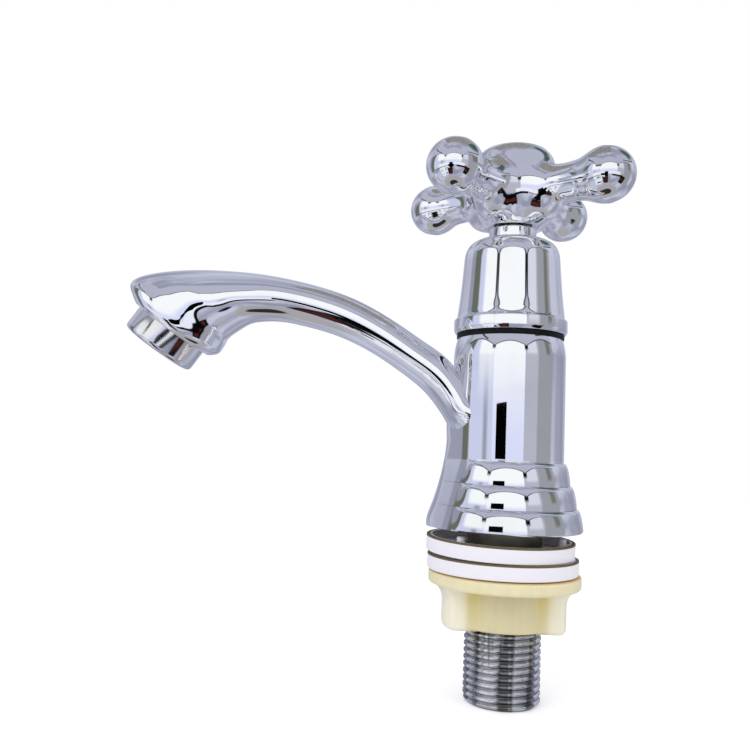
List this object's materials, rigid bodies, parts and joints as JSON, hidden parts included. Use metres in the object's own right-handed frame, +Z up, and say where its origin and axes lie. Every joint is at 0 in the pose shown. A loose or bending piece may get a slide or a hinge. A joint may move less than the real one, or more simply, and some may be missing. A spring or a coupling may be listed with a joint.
{
  "type": "basin tap",
  "caption": "Chromed basin pillar tap with a swan-neck spout, a cross handle with ball ends, and a threaded tail with washers and a winged back nut.",
  "frame": {"origin": "centre of the foot's seat, on the axis of the pillar and the threaded tail", "axes": "+Z up along the pillar, -Y along the spout, +X to the right of someone who faces the tap from the spout's end"},
  "size_m": [0.0586, 0.1385, 0.1548],
  "materials": {
    "body_chrome": "bright plate on cast metal",
    "collar_chrome": "bright plate on turned metal",
    "tail_metal": "dull grey plate over a cut thread",
    "brass": "turned",
    "spring_steel": "plain",
    "seal_rubber": "black, moulded",
    "ceramic": "ground and lapped ceramic",
    "slippery_plastic": "white, moulded",
    "washer_plastic": "white with a lilac cast, moulded",
    "nut_plastic": "ivory, slightly translucent"
  },
  "bodies": {
    "tap": {"tap_body": "body_chrome", "shank": "tail_metal", "shank_seal": "seal_rubber", "bonnet_gasket": "seal_rubber", "bonnet_cover": "body_chrome", "bonnet_ring": "body_chrome", "headwork": "brass", "headwork_seal": "seal_rubber", "seat_seal": "seal_rubber", "fixed_disc": "ceramic", "thrust_washer": "slippery_plastic", "aerator_housing": "collar_chrome", "aerator_insert": "slippery_plastic", "aerator_washer": "seal_rubber"},
    "handle": {"handle_cross": "body_chrome", "handle_insert": "slippery_plastic", "handle_screw": "spring_steel", "handle_cap": "body_chrome", "spindle": "brass", "spindle_orings": "seal_rubber", "spindle_clip": "spring_steel", "moving_disc": "ceramic"},
    "washers": {"upper_washer": "washer_plastic", "lower_washer": "washer_plastic"},
    "nut": {"lock_nut": "nut_plastic"}
  },
  "joints": [
    {"name": "handle_turn", "type": "hinge", "parent": "tap", "child": "handle", "pos_m": [0, 0, 0.09525], "axis": [0, 0, 1], "range_deg": [0, 90]},
    {"name": "nut_travel", "type": "slide", "parent": "tap", "child": "washers", "axis": [0, 0, 1], "range_m": [-0.0182, 0.0019]},
    {"name": "nut_spin", "type": "hinge", "parent": "washers", "child": "nut", "pos_m": [0, 0, -0.02], "axis": [0, 0, 1], "range_deg": [-3600, 360]}
  ],
  "couplings": [
    {"joint": "nut_travel", "follows": "nut_spin", "m_per_rad": 0.00028871}
  ]
}
